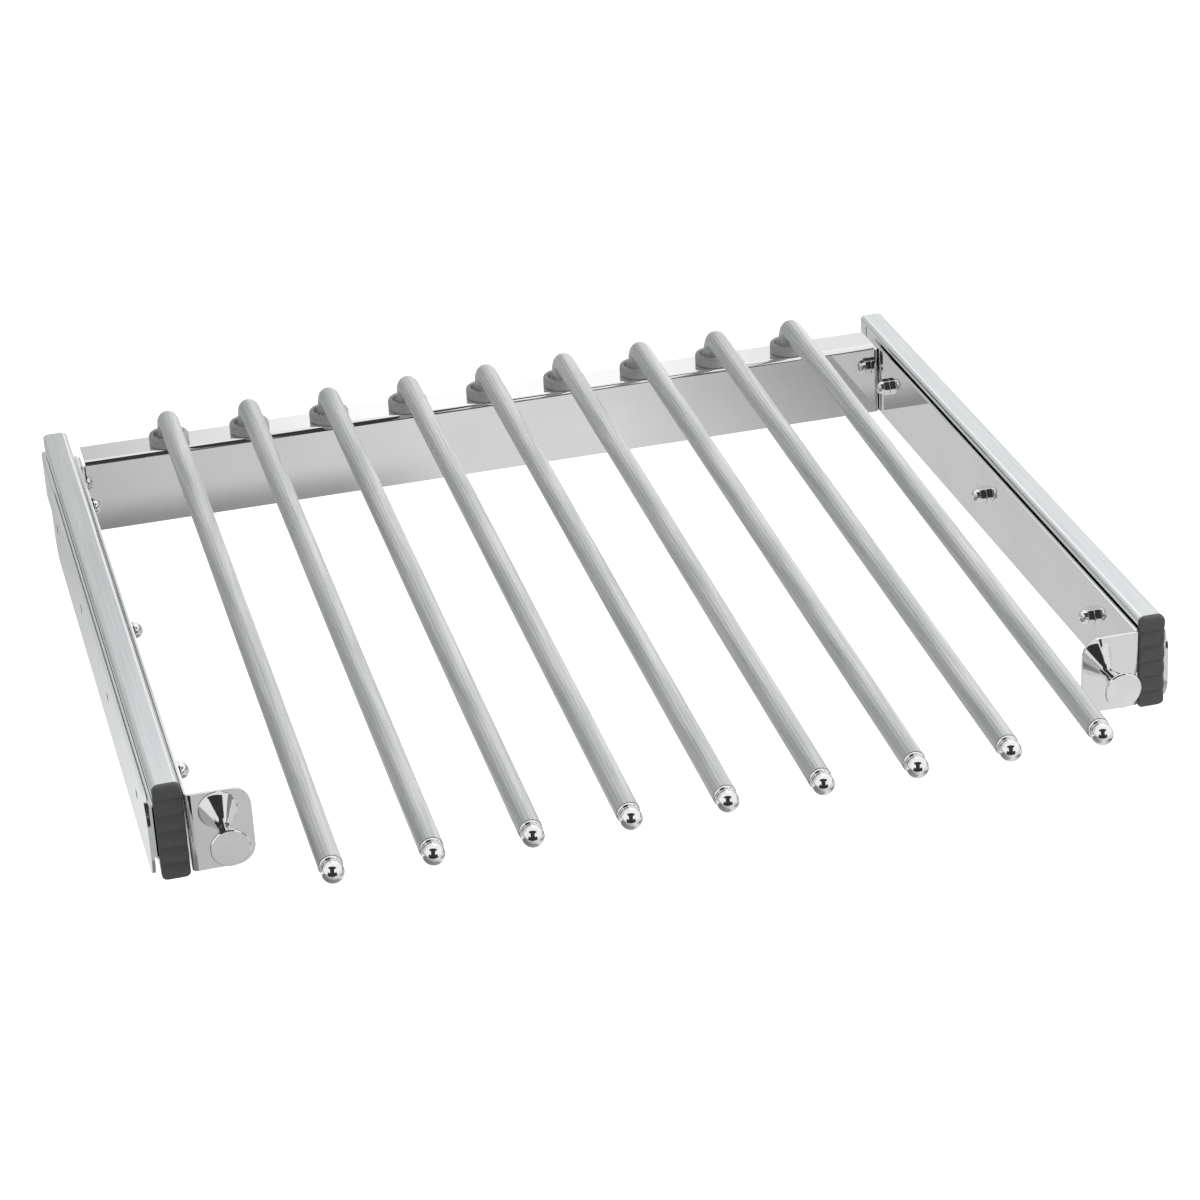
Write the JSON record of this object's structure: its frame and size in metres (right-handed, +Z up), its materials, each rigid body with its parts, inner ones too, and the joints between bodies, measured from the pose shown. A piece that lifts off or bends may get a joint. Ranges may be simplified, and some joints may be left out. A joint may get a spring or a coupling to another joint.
{
  "type": "pull out trouser rack",
  "caption": "Pull out rack of grey sleeved rods on a chromed frame, running on full extension ball bearing rails inside a wardrobe.",
  "frame": {"origin": "half way between the two rails, at their front ends and on the line of their screw holes", "axes": "+X to the rack's right, +Y into the cabinet, +Z up; the rack pulls out along -Y"},
  "size_m": [0.47, 0.4813, 0.0646],
  "materials": {
    "zinc_steel": "bright zinc plated sheet steel",
    "strip_steel": "plain bright strip steel",
    "ball_steel": "polished bearing steel",
    "cap_rubber": "dull dark grey rubber",
    "chrome_sheet": "bright chromed sheet steel",
    "chrome_solid": "bright chrome",
    "bolt_zinc": "zinc plated steel",
    "core_steel": "plain steel rod inside the sleeve",
    "sleeve_plastic": "satin light grey plastic sleeve with fine ribs along it",
    "cup_plastic": "satin mid grey plastic"
  },
  "bodies": {
    "cabinet_rails": {"left_mounting_plate": "zinc_steel", "right_mounting_plate": "zinc_steel", "left_cabinet_rail": "zinc_steel", "right_cabinet_rail": "zinc_steel"},
    "rack": {"left_rack_rail": "zinc_steel", "right_rack_rail": "zinc_steel", "left_end_cap": "cap_rubber", "right_end_cap": "cap_rubber", "left_side_bar": "chrome_sheet", "right_side_bar": "chrome_sheet", "rear_bar": "chrome_sheet", "left_spacers": "bolt_zinc", "right_spacers": "bolt_zinc", "left_frame_bolts": "bolt_zinc", "right_frame_bolts": "bolt_zinc", "left_cap_nuts": "chrome_solid", "right_cap_nuts": "chrome_solid", "left_knob": "chrome_solid", "right_knob": "chrome_solid", "left_knob_screw": "bolt_zinc", "right_knob_screw": "bolt_zinc", "rod_core_1": "core_steel", "rod_core_2": "core_steel", "rod_core_3": "core_steel", "rod_core_4": "core_steel", "rod_core_5": "core_steel", "rod_core_6": "core_steel", "rod_core_7": "core_steel", "rod_core_8": "core_steel", "rod_core_9": "core_steel", "rod_sleeve_1": "sleeve_plastic", "rod_sleeve_2": "sleeve_plastic", "rod_sleeve_3": "sleeve_plastic", "rod_sleeve_4": "sleeve_plastic", "rod_sleeve_5": "sleeve_plastic", "rod_sleeve_6": "sleeve_plastic", "rod_sleeve_7": "sleeve_plastic", "rod_sleeve_8": "sleeve_plastic", "rod_sleeve_9": "sleeve_plastic", "rod_tips": "chrome_solid", "rod_cups": "cup_plastic", "rod_screws": "bolt_zinc"},
    "left_middle": {"left_middle_rail": "zinc_steel"},
    "left_outer_run": {"left_outer_ball_strips": "strip_steel", "left_outer_balls": "ball_steel"},
    "left_inner_run": {"left_inner_ball_strips": "strip_steel", "left_inner_balls": "ball_steel"},
    "right_middle": {"right_middle_rail": "zinc_steel"},
    "right_outer_run": {"right_outer_ball_strips": "strip_steel", "right_outer_balls": "ball_steel"},
    "right_inner_run": {"right_inner_ball_strips": "strip_steel", "right_inner_balls": "ball_steel"}
  },
  "joints": [
    {"name": "rack_slide", "type": "slide", "parent": "cabinet_rails", "child": "rack", "axis": [0, -1, 0], "range_m": [0, 0.39]},
    {"name": "left_middle_slide", "type": "slide", "parent": "cabinet_rails", "child": "left_middle", "axis": [0, -1, 0], "range_m": [0, 0.195]},
    {"name": "left_outer_run_slide", "type": "slide", "parent": "cabinet_rails", "child": "left_outer_run", "axis": [0, -1, 0], "range_m": [0, 0.2925]},
    {"name": "left_inner_run_slide", "type": "slide", "parent": "cabinet_rails", "child": "left_inner_run", "axis": [0, -1, 0], "range_m": [0, 0.0975]},
    {"name": "right_middle_slide", "type": "slide", "parent": "cabinet_rails", "child": "right_middle", "axis": [0, -1, 0], "range_m": [0, 0.195]},
    {"name": "right_outer_run_slide", "type": "slide", "parent": "cabinet_rails", "child": "right_outer_run", "axis": [0, -1, 0], "range_m": [0, 0.2925]},
    {"name": "right_inner_run_slide", "type": "slide", "parent": "cabinet_rails", "child": "right_inner_run", "axis": [0, -1, 0], "range_m": [0, 0.0975]}
  ],
  "couplings": [
    {"joint": "left_middle_slide", "follows": "rack_slide", "ratio": 0.5},
    {"joint": "left_outer_run_slide", "follows": "rack_slide", "ratio": 0.75},
    {"joint": "left_inner_run_slide", "follows": "rack_slide", "ratio": 0.25},
    {"joint": "right_middle_slide", "follows": "rack_slide", "ratio": 0.5},
    {"joint": "right_outer_run_slide", "follows": "rack_slide", "ratio": 0.75},
    {"joint": "right_inner_run_slide", "follows": "rack_slide", "ratio": 0.25}
  ]
}
